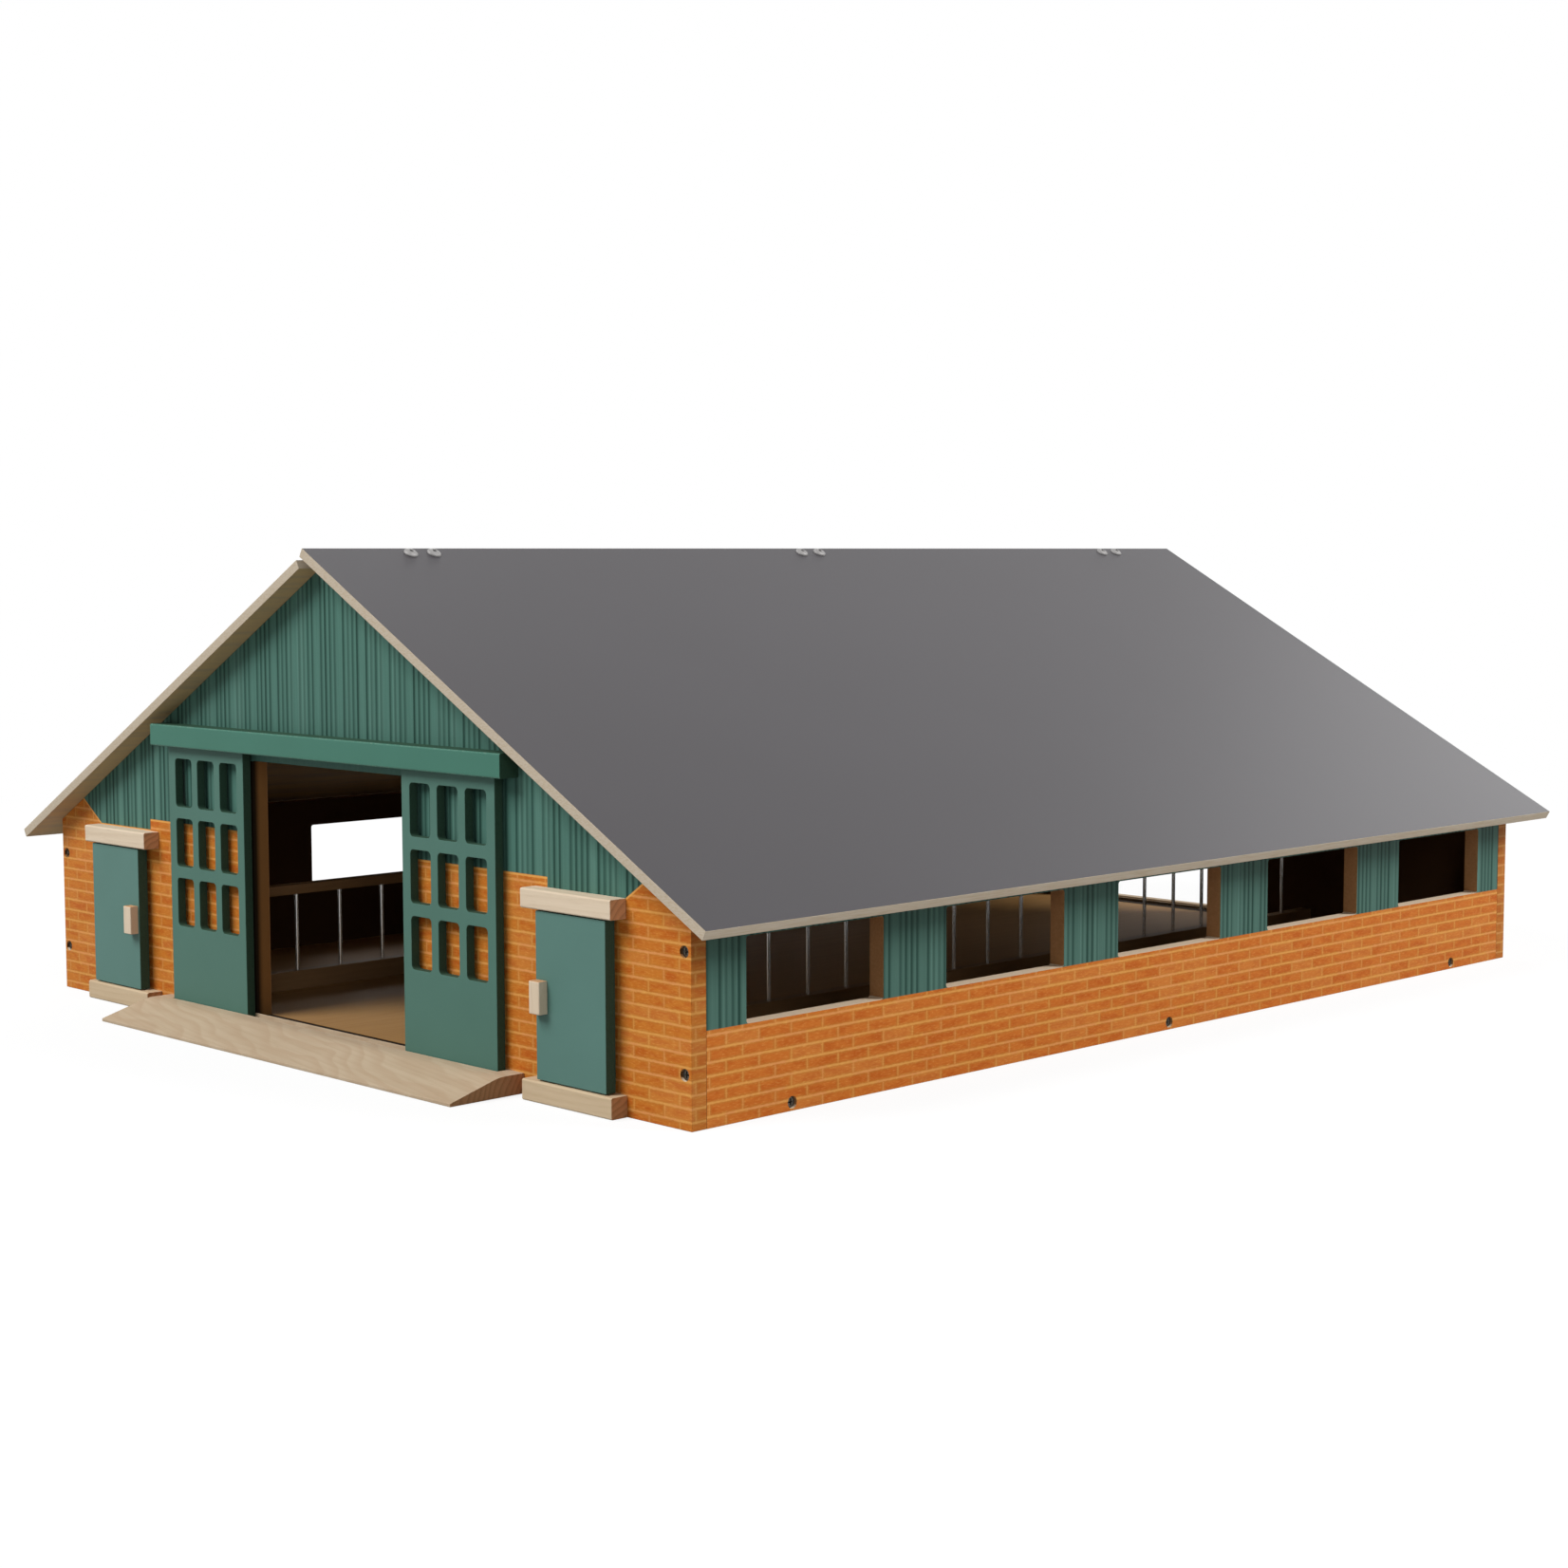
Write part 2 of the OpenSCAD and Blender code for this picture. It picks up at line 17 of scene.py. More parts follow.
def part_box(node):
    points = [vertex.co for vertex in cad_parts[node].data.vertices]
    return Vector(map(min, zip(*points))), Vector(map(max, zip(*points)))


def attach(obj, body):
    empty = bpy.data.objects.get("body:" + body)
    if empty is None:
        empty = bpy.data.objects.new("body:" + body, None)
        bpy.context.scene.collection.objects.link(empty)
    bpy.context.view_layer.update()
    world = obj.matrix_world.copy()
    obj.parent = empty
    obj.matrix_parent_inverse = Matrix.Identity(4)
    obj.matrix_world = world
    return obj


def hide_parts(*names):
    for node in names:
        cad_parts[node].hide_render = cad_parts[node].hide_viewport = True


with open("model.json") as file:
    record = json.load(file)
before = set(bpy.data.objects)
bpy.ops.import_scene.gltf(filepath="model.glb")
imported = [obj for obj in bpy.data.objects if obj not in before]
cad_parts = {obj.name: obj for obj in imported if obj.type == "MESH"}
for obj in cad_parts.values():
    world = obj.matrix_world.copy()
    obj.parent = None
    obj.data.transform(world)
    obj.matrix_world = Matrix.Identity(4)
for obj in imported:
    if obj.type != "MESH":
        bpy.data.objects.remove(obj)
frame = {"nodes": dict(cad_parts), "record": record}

bl_info = {
    "name": "Toy Barn Looks",
    "version": (1, 0, 0),
    "blender": (4, 5, 0),
    "location": "3D View > Sidebar > Toy Barn",
    "description": "Dresses the packed model of a toy barn with opening doors",
    "category": "Object",
}

MM = 0.001
BODIES = frame["record"]["behaviour"]["bodies"]
BODY_OF = {node: body for body, nodes in BODIES.items() for node in nodes}
SIDES = ("left", "right")
ENDS = ("front", "back")

# Limits for the work on meshes
MERGE = 1e-6
FINE_MERGE = 1e-7
FLAT = math.radians(0.5)
SHARP = math.radians(25)
SMOOTH = math.radians(30)

# Lamps by name: place and width. They aim at the middle of the barn.
LAMPS = {
    "Key": ((-0.84, -2.74, 2.9), 2.0),
    "Side": ((2.4, 1.5, 2.2), 1.6),
    "Near": ((2.3, -1.7, 1.0), 1.0),
    "Back": ((-2.7, 1.3, 1.4), 1.6),
    "Far": ((0.1, 2.9, 1.1), 1.6),
}
LAMP_AIM = Vector((0, 0, 0.08))
SENSOR_WIDTH = 36.0
FLOOR_RADIUS = 12.0
FLOOR_DROP = 0.2 * MM

# Places in the frame that the finishes and the new pieces are worked out from
HALF_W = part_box("front_gable")[1].x
HALF_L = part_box("back_gable")[1].y
GABLE_T = HALF_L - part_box("right_wall")[1].y
EAVE_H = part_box("right_wall")[1].z
RIDGE_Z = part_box("front_gable")[1].z
ROOF_PITCH = math.atan2(RIDGE_Z - EAVE_H, HALF_W)


def srgb(code):
    """Linear colour with alpha from a six-digit sRGB code."""
    values = [int(code[i : i + 2], 16) / 255 for i in (0, 2, 4)]
    return tuple(v / 12.92 if v <= 0.04045 else ((v + 0.055) / 1.055) ** 2.4 for v in values) + (1.0,)


def colour_property(name, description, code):
    """A colour picker whose default is an sRGB code."""
    return FloatVectorProperty(
        name=name, description=description, subtype="COLOR", size=4, min=0, max=1, default=srgb(code)
    )


def length_property(name, description, default):
    """A length in metres."""
    return FloatProperty(
        name=name, description=description, default=default, min=0, unit="LENGTH", precision=5
    )


def angle_property(name, description, degrees):
    """An angle that is given in degrees."""
    return FloatProperty(name=name, description=description, subtype="ANGLE", default=math.radians(degrees))


def power_property(name, description, watts):
    """The power of a lamp."""
    return FloatProperty(name=name, description=description, unit="POWER", default=watts)


class BoardLooks(bpy.types.PropertyGroup):
    """Print on the gables and side walls"""

    brick: colour_property("Brick", "Main colour of the bricks on the gables", "bd7128")
    side_brick: colour_property("Side brick", "Main colour of the bricks on the side walls", "bd6926")
    brick_deep: colour_property("Deep brick", "Colour of the redder bricks", "ad5216")
    brick_rim: colour_property("Brick rim", "Colour of the bricks beside the mortar", "b0702c")
    mortar: colour_property("Mortar", "Colour of the mortar lines", "dea457")
    mortar_warm: colour_property("Warm mortar", "Colour of the pinker stretches of mortar", "d88f5c")
    cladding: colour_property("Cladding", "Colour of the cladding's flats on the gables", "4a7065")
    side_cladding: colour_property("Side cladding", "Colour of the flats on the side walls", "47675d")
    cladding_light: colour_property("Light rib", "Colour of the cladding's lightest ribs", "63897d")
    groove: colour_property("Groove", "Colour of the grooves in the cladding", "18352d")
    core: colour_property("Board core", "Colour of the boards' cut edges", "b2855a")
    # Darker than the core: partly the inner faces' own tone, partly painted shade for the dim inside of the
    # barn.
    backing: colour_property("Backing", "Colour of the boards' inner faces", "4a3421")
    # The jamb colour is the cut edge's own tone darkened with painted shade for the main doorways.
    jamb_and_shade: colour_property("Jamb", "Colour of the cut edges round the main doorways", "8a6238")
    sill_top: colour_property("Window sill", "Colour of the sanded sills of the side windows", "dccdb6")
    # Painted shade: the darkest colour at the front of the doorway jambs and in the dark line on the gable
    # sill.
    gap: colour_property("Gap", "Colour of the dusty corners round the main doorways", "1e150c")
    core_dark: colour_property("Dark core", "Colour of the coarse fibres in the bare board", "8d6440")
    course: length_property("Course", "Height of one course of bricks", 6.106 * MM)
    brick_length: length_property("Brick length", "Length of a brick with its joint", 20.5 * MM)
    joint: length_property("Joint", "Width of the mortar lines", 0.95 * MM)
    doorway: length_property("Doorway", "Half a main doorway's width with its rounded corners", 72.0 * MM)
    doorway_top: length_property("Doorway top", "Height of the plain strip above a main doorway", 152.0 * MM)
    end_bed: length_property("End bed", "Height of the first mortar line on the gables", 4.0 * MM)
    side_bed: length_property("Side bed", "Height of the first mortar line on the side walls", 5.25 * MM)
    end_head: length_property("End joint", "Place of an upright joint from the gable's middle", 9.0 * MM)
    side_head: length_property("Side joint", "Place of an upright joint from the front", 10.6 * MM)
    brick_top: length_property("Brick top", "Height of the bricks beside the main doorway", 105.0 * MM)
    brick_step: length_property("Brick step", "Where the bricks drop, from the middle", 174.5 * MM)
    brick_foot: length_property("Brick foot", "Where the bricks rise again, from the middle", 228.0 * MM)
    brick_low: length_property("Low bricks", "Height of the bricks behind the lintel", 99.0 * MM)
    left_rise: length_property("Left rise", "How much higher the bricks end on the left", 1.8 * MM)
    brick_slope: FloatProperty(
        name="Brick slope", description="Rise of the bricks' upper edge for each length", default=0.68
    )
    sill: length_property("Sill", "Height of the bricks on the side walls", 44.2 * MM)
    rib: length_property("Rib", "Distance between the grooves of a group", 3.98 * MM)
    sheet: length_property("Sheet", "Distance from one group of grooves to the next", 19.68 * MM)
    end_sheet: length_property("End sheet", "First groove of a group from the gable's middle", 14.3 * MM)
    side_sheet: length_property("Side sheet", "First groove of a group from the front", 17.0 * MM)
    corner: length_property("Corner", "Radius of the gable boards' edges", 0.3 * MM)
    edge: length_property("Edge", "Radius of the other boards' edges", 0.2 * MM)


class PaintLooks(bpy.types.PropertyGroup):
    """Green paint on the doors and tracks"""

    sliding_door: colour_property("Sliding doors", "Paint of the sliding doors", "4e7267")
    small_door: colour_property("Small doors", "Paint of the small doors", "597d75")
    track: colour_property("Tracks", "Paint of the door tracks", "447465")
    cut: colour_property("Cut edge", "Colour of the thinly painted cut edges", "283d2e")
    worn: colour_property("Worn edge", "Colour where the paint has worn", "7c9688")
    edge: length_property("Edge", "Radius of the eased edges", 0.5 * MM)


class WoodLooks(bpy.types.PropertyGroup):
    """Bare wood of the ramps, lintels, steps, handles, floor and fences"""

    pale: colour_property("Pale wood", "Colour of the lintels and handles", "d5c4ad")
    warm: colour_property("Warm wood", "Colour of the ramps and steps", "c6b193")
    ramp: colour_property("Ramp", "Colour of the ramps", "bba88f")
    floor: colour_property("Floor", "Colour of the floor board", "977347")
    # The fence colour is the wood's own tone darkened with painted shade for the dim inside of the barn.
    fence: colour_property("Fence", "Colour of the feed fences", "8a6b49")
    edge: length_property("Edge", "Radius of the eased edges", 0.35 * MM)


class RoofLooks(bpy.types.PropertyGroup):
    """Roof panels"""

    laminate: colour_property("Laminate", "Colour of the roof's upper face", "282528")
    fleck: colour_property("Fleck", "Colour of the laminate's fine flecks", "3a373c")
    core: colour_property("Core", "Colour of the panels' edges", "b4a896")
    core_dark: colour_property("Dark core", "Colour of the coarse fibres in the edges", "a18d6f")
    underside: colour_property("Underside", "Colour of the bare underside", "bb9c6b")
    edge: length_property("Edge", "Radius of the eased edges", 0.3 * MM)


class FittingLooks(bpy.types.PropertyGroup):
    """Hinges, rivets, screws and bars"""

    steel: colour_property("Steel", "Colour of the zinc-plated steel", "9c9d9c")
    aluminium: colour_property("Aluminium", "Colour of the blind rivets", "8f8d8c")
    bar: colour_property("Bars", "Colour of the bright bars of the feed fences", "ececea")
    # The screws are darker than plated steel: partly their own colour, partly painted shade for a deeper
    # hole.
    screw: colour_property("Screw", "Colour of the screws", "5d574f")
    recess: length_property("Recess", "Half the width of the cross in a screw head", 0.42 * MM)
    edge: length_property("Edge", "Radius of the hinge leaves' edges", 0.12 * MM)
    segments: IntProperty(
        name="Segments", description="Sides of a turned fitting", default=32, min=12, max=64
    )


class StageLooks(bpy.types.PropertyGroup):
    """Camera, lights and floor"""

    eye: FloatVectorProperty(
        name="Eye",
        description="Place of the camera",
        subtype="TRANSLATION",
        unit="LENGTH",
        default=(1.0955, -1.1031, 0.2544),
    )
    turn: angle_property("Turn", "Camera's angle from +Y towards -X", 45.33)
    dip: angle_property("Dip", "Camera's angle below the horizon", 5.12)
    roll: angle_property("Roll", "Camera's turn about its own axis", -0.10)
    lens: FloatProperty(name="Lens", description="Focal length in millimetres", default=59.0, min=10)
    key_power: power_property("Key", "Power of the soft lamp on the front", 166)
    side_power: power_property("Side", "Power of the lamp on the long side", 124)
    near_power: power_property("Near", "Power of the weak lamp beside the camera", 10)
    back_power: power_property("Back", "Power of the lamp on the left", 26)
    far_power: power_property("Far", "Power of the lamp behind", 10)
    fill: FloatProperty(name="Fill", description="Strength of the even light all round", default=0.11, min=0)
    floor: colour_property("Floor", "Colour of the floor where it lights the barn", "9c9c9c")
    floor_white: FloatProperty(
        name="Floor white", description="Share of plain white in the floor", default=0.87, max=1
    )
    floor_edge: length_property("Floor edge", "Distance at which the floor has turned plain white", 1.4)


class Value:
    """A shader socket that carries a number. Arithmetic on it adds Math nodes to its finish."""

    def __init__(self, finish, socket):
        self.finish, self.socket = finish, socket

    def math(self, operation, *others):
        return self.finish.math(operation, self, *others)

    def __add__(self, other):
        return self.math("ADD", other)

    def __sub__(self, other):
        return self.math("SUBTRACT", other)

    def __rsub__(self, other):
        return self.finish.math("SUBTRACT", other, self)

    def __mul__(self, other):
        return self.math("MULTIPLY", other)

    def __truediv__(self, other):
        return self.math("DIVIDE", other)

    def __gt__(self, other):
        return self.math("GREATER_THAN", other)

    def __lt__(self, other):
        return self.math("LESS_THAN", other)

    def floor(self):
        return self.math("FLOOR")

    def part(self):
        """Distance above the next lower whole number."""
        return self.math("FRACT")

    def size(self):
        return self.math("ABSOLUTE")

    def least(self, other):
        return self.math("MINIMUM", other)

    def most(self, other):
        return self.math("MAXIMUM", other)

    def clear(self):
        """Kept between 0 and 1."""
        return self.finish.node("ShaderNodeClamp", {}, {"Value": self, "Min": 0.0, "Max": 1.0})["Result"]

    def step(self, low, high, start=0.0, end=1.0):
        """Smooth change from start to end while this value goes from low to high."""
        return self.finish.node(
            "ShaderNodeMapRange",
            {"interpolation_type": "SMOOTHSTEP"},
            {"Value": self, "From Min": low, "From Max": high, "To Min": start, "To Max": end},
        )["Result"]


class Finish:
    """One procedural material, or the world's light, built node by node."""

    def __init__(self, name, owner=None):
        self.material = owner or bpy.data.materials.new(name)
        self.material.use_nodes = True
        self.tree = self.material.node_tree
        self.tree.nodes.clear()
        self.inputs = None

    def node(self, kind, settings, sockets):
        """Adds a node with its settings and the values or links of its sockets. Returns its outputs."""
        made = self.tree.nodes.new(kind)
        for name, value in settings.items():
            setattr(made, name, value)
        for key, value in sockets.items():
            socket = made.inputs[key]
            if isinstance(value, Value):
                value = value.socket
            if isinstance(value, bpy.types.NodeSocket):
                self.tree.links.new(value, socket)
            else:
                socket.default_value = value
        return {s.name: Value(self, s) if s.type == "VALUE" else s for s in made.outputs if s.enabled}

    def math(self, operation, *values):
        return self.node("ShaderNodeMath", {"operation": operation}, dict(enumerate(values)))["Value"]

    def mix(self, share, first, second):
        """Colour from first to second by share."""
        return self.node("ShaderNodeMix", {"data_type": "RGBA"}, {0: share, 6: first, 7: second})["Result"]

    def place(self):
        """The point on the piece in millimetres, as x, y and z, and as one vector."""
        self.inputs = self.inputs or self.node("ShaderNodeTexCoord", {}, {})
        scaled = self.node(
            "ShaderNodeVectorMath", {"operation": "SCALE"}, {0: self.inputs["Object"], "Scale": 1 / MM}
        )["Vector"]
        parts = self.node("ShaderNodeSeparateXYZ", {}, {0: scaled})
        return parts["X"], parts["Y"], parts["Z"], scaled

    def facing(self):
        """The way the surface faces, as x, y and z."""
        self.inputs = self.inputs or self.node("ShaderNodeTexCoord", {}, {})
        parts = self.node("ShaderNodeSeparateXYZ", {}, {0: self.inputs["Normal"]})
        return parts["X"], parts["Y"], parts["Z"]

    def vector(self, x, y, z):
        return self.node("ShaderNodeCombineXYZ", {}, {"X": x, "Y": y, "Z": z})["Vector"]

    def noise(self, where, scale, detail=2.0, roughness=0.5):
        """Soft noise from 0 to 1."""
        sockets = {"Vector": where, "Scale": scale, "Detail": detail, "Roughness": roughness}
        made = self.node("ShaderNodeTexNoise", {"noise_dimensions": "3D"}, sockets)
        return made.get("Fac") or made["Factor"]

    def chance(self, where):
        """A random number from 0 to 1 for each whole-number place."""
        return self.node("ShaderNodeTexWhiteNoise", {"noise_dimensions": "3D"}, {"Vector": where})["Value"]

    def seen(self):
        """Whether a ray comes from the camera, or from a mirror or a pane that shows the surroundings."""
        path = self.node("ShaderNodeLightPath", {}, {})
        return path["Is Camera Ray"].most(path["Is Glossy Ray"]).most(path["Is Transmission Ray"])

    def bump(self, height, strength, distance):
        sockets = {"Height": height, "Strength": strength, "Distance": distance}
        return self.node("ShaderNodeBump", {}, sockets)["Normal"]

    def surface(self, sockets):
        """Ends the finish with one Principled shader."""
        shader = self.node("ShaderNodeBsdfPrincipled", {}, sockets)["BSDF"]
        self.node("ShaderNodeOutputMaterial", {}, {"Surface": shader})
        return self.material


def brick_courses(finish, along, up, bed, head, looks):
    """Bricks on a flat face: how much mortar shows, less in the upright joints, the bricks' rims, and a
    number for each brick."""
    course, length = looks.course / MM, looks.brick_length / MM
    half_joint = looks.joint / MM / 2
    level = (up - bed) / course
    row = level.floor()
    slot = (along - head) / length + row.math("FLOORED_MODULO", 2.0) * 0.5
    to_bed = (level.part() - 0.5).size() * -course + course / 2
    to_head = (slot.part() - 0.5).size() * -length + length / 2
    ragged = (finish.noise(finish.vector(along, up, 0.0), 0.4) - 0.5) * 0.7
    beds = (to_bed + ragged).step(half_joint - 0.35, half_joint + 0.45, 1.0, 0.0)
    heads = (to_head + ragged).step(half_joint - 0.4, half_joint + 0.4, 0.55, 0.0)
    rim = (to_bed.least(to_head) + ragged).step(0.6, 1.9, 1.0, 0.0)
    return beds.most(heads), rim, finish.chance(finish.vector(slot.floor(), row, 3.0))


def cladding_grooves(finish, along, start, looks):
    """Ribbed cladding in groups of four grooves with a flat between: how dark a groove is, its soft side,
    and a number for each rib."""
    rib, sheet = looks.rib / MM, looks.sheet / MM
    slot = (along - start + rib / 2) / sheet
    across = slot.part() * sheet
    number = (across / rib).floor()
    ribbed = number < 3.5
    offset = across - number * rib - rib / 2
    pick = finish.chance(finish.vector(slot.floor(), number, 1.0))
    depth = pick * 0.65 + 0.35
    wobble = finish.noise(finish.vector(along * 0.2, 0.0, number), 1.0) * 0.2
    groove = (offset.size() - wobble).step(0.3, 1.05, 1.0, 0.0) * depth * ribbed
    soft = (offset - 0.9).size().step(0.2, 1.5, 1.0, 0.0) * ribbed
    return groove, soft, pick


def brick_print(finish, along, z, where, on_wall, looks):
    """Colour of the bricks and their mortar, which start at other places on the side walls."""
    bed = on_wall * ((looks.side_bed - looks.end_bed) / MM) + looks.end_bed / MM
    head = on_wall * ((looks.side_head - looks.end_head) / MM) + looks.end_head / MM
    mortar, rim, pick = brick_courses(finish, along, z, bed, head, looks)
    cloud = finish.noise(where, 0.06, 3.0)
    speckle = finish.noise(finish.vector(along * 0.35, z * 1.5, 0.0), 1.0, 4.0, 0.65)
    blotch = finish.noise(finish.vector(along * 0.09, z * 0.3, pick * 40.0), 1.0, 2.0)
    redder = (pick * 0.45 + blotch.step(0.4, 0.65, 0.0, 0.6) - 0.15).clear()
    redder = redder + speckle.step(0.5, 0.3, 0.0, 0.3)
    paler = pick.step(0.75, 0.8, 0.0, 0.15) + speckle.step(0.5, 0.72, 0.0, 0.35)
    brick = finish.mix(on_wall, looks.brick, looks.side_brick)
    brick = finish.mix(redder, brick, looks.brick_deep)
    brick = finish.mix(rim * 0.6, brick, looks.brick_rim)
    brick = finish.mix(paler, brick, looks.mortar)
    joint = finish.mix(cloud.step(0.4, 0.6) * 0.7, looks.mortar, looks.mortar_warm)
    return finish.mix(mortar * (cloud * 0.4 + speckle * 0.4 + 0.25).clear(), brick, joint)


def cladding_print(finish, along, y, z, on_wall, ribbed, looks):
    """Colour of the cladding, a little streaky along its ribs, and how dark its grooves are."""
    start = on_wall * ((looks.side_sheet - looks.end_sheet) / MM) + looks.end_sheet / MM
    groove, soft, pick = cladding_grooves(finish, along, start, looks)
    groove, soft = groove * ribbed, soft * ribbed
    streak = finish.noise(finish.vector(along * 0.9, y * 0.9, z * 0.02), 1.0, 3.0, 0.6)
    flat = finish.mix(on_wall, looks.cladding, looks.side_cladding)
    flat = finish.mix(pick.step(0.3, 0.0, 0.0, 0.35) * ribbed, flat, looks.cladding_light)
    clad = finish.mix(soft * 0.26 + streak.step(0.35, 0.8, 0.0, 0.2), flat, looks.groove)
    return finish.mix(groove, clad, looks.groove), groove


def above_bricks(x, z, on_wall, on_edge, looks):
    """Height above the bricks' upper edge. They end in a step and a slope on the gables and at the window
    sills on the side walls, and cover the gables' edges."""
    reach = x.size()
    low = (reach > looks.brick_step / MM) * ((looks.brick_top - looks.brick_low) / MM)
    rise = (reach - looks.brick_foot / MM).most(0.0) * looks.brick_slope
    end_top = (x < 0.0) * (looks.left_rise / MM) + looks.brick_top / MM - low + rise
    past_wall = on_edge * 100.0
    return z - (end_top + (looks.sill / MM - end_top) * on_wall + past_wall)


def bare_board(finish, place, facing, fibre, looks):
    """Colour of the board where nothing is printed: cut edges, inner faces, window sills and doorways, with
    painted shade in the main doorways and a painted shadow line on the gable sill.
    """
    x, y, z = place
    nx, ny, nz = facing
    depth = HALF_L / MM - y.size()
    at_side = x.size() > HALF_W / MM - 12.0
    inner = (ny.size() > 0.9) * (depth < 20.0) + (nx.size() > 0.9) * at_side
    # Inner faces take the backing colour, which partly paints the shade inside the barn.
    bare = finish.mix(inner, finish.mix(fibre, looks.core, looks.core_dark), looks.backing)
    window_sill = (nz > 0.5) * (z < looks.sill / MM + 3.0) * at_side
    bare = finish.mix(window_sill, bare, finish.mix(fibre * 0.5, looks.sill_top, looks.core))
    # Painted shadow: the gable sill's front strip where it meets the ramp takes the gap colour as a dark
    # line. Painted shade: the doorway jambs turn to the gap colour towards their front edge, where the doors
    # shade them.
    painted_sill_shadow = (nz > 0.25) * (z < 20.0) * (depth < GABLE_T / MM + 1.0)
    on_jamb = (z < looks.doorway_top / MM) * (depth < GABLE_T / MM - 0.5)
    in_doorway = (x.size() < looks.doorway / MM + 2.6) * on_jamb.most(painted_sill_shadow)
    # corner is the share of painted shade: full at the front edge and on the sill strip, fading 4.5 mm
    # inwards.
    corner = depth.step(0.5, 4.5, 1.0, 0.0).most(painted_sill_shadow)
    return finish.mix(in_doorway, bare, finish.mix(corner, looks.jamb_and_shade, looks.gap))


def printed_board(looks):
    """Board with bricks and green cladding on its outer faces, bare on its inner faces and cut edges."""
    finish = Finish("printed_board")
    x, y, z, where = finish.place()
    nx, ny, nz = finish.facing()
    half_w, half_l, skin = HALF_W / MM, HALF_L / MM, looks.corner / MM + 0.1

    # Where the print is: the outer faces and the gables' edges, but not round the main doorways
    side = (x > 0.0) * 2 - 1
    turned_in = (nx * side < -0.25).most(nz > 0.25)
    beside = (x.size() < looks.doorway / MM + 2.5) * (z < looks.brick_top / MM + 40.0)
    on_side = (nx.size() > ny.size()) * (nx.size() > 0.5) * (x.size() > half_w - skin)
    on_end = (ny.size() > 0.5) * (y.size() > half_l - skin) * (1 - on_side) * (1 - turned_in.most(beside))
    on_wall = on_side * (y.size() < half_l - GABLE_T / MM + 0.05)
    on_edge = on_side - on_wall
    printed = on_side.most(on_end)

    # The print runs on from the gables' faces round their edges
    from_front = y + half_l
    round_edge = side * (half_l - y.size())
    along = x + (from_front - x) * on_wall + round_edge * on_edge
    above = above_bricks(x, z, on_wall, on_edge, looks)
    is_brick = above.step(-0.2, 0.2, 1.0, 0.0)
    cap = (above + 0.6).size().step(0.3, 0.7, 0.7, 0.0) * on_end
    brick = finish.mix(cap, brick_print(finish, along, z, where, on_wall, looks), looks.mortar)
    plain = (x.size() < looks.doorway / MM) * (z < looks.doorway_top / MM) * on_end
    clad, groove = cladding_print(finish, along, y, z, on_wall, 1 - plain, looks)
    picture = finish.mix(on_edge * 0.22, finish.mix(is_brick, clad, brick), looks.backing)

    fibre = finish.noise(where, 0.7, 4.0, 0.65)
    bare = bare_board(finish, (x, y, z), (nx, ny, nz), fibre, looks)
    grain = finish.noise(where, 1.5, 3.0) * 0.4 + fibre * (1 - printed)
    return finish.surface(
        {
            "Base Color": finish.mix(printed, bare, picture),
            "Roughness": printed * -0.35 + 0.85,
            "Normal": finish.bump(grain - groove * printed * (1 - is_brick), 0.3, 0.15 * MM),
            "Specular IOR Level": 0.08,
        }
    )


def painted_board(name, colour, looks):
    """Satin paint rolled on fibre board: a soft mottle, thin paint on cut edges and slightly worn corners."""
    finish = Finish(name)
    *_, where = finish.place()
    _, ny, _ = finish.facing()
    flat = ny.size().step(0.9, 0.97)
    cut = ny.size().step(0.2, 0.5, 1.0, 0.0)
    mottle = finish.noise(where, 0.025, 3.0)
    stipple = finish.noise(where, 1.8, 3.0, 0.6)
    fibre = finish.noise(where, 0.9, 4.0, 0.7)
    shade = finish.mix(mottle * 0.18 + stipple * 0.06, colour, looks.cut)
    shade = finish.mix((1 - flat) * (1 - cut) * fibre.step(0.45, 0.7) * 0.5, shade, looks.worn)
    shade = finish.mix(cut * (fibre * 0.3 + 0.7), shade, looks.cut)
    rough = stipple * 0.12 + cut * 0.2 + 0.4
    relief = finish.bump(stipple * 0.6 + fibre * cut, 0.15, 0.12 * MM)
    return finish.surface(
        {"Base Color": shade, "Roughness": rough, "Normal": relief, "Specular IOR Level": 0.1}
    )


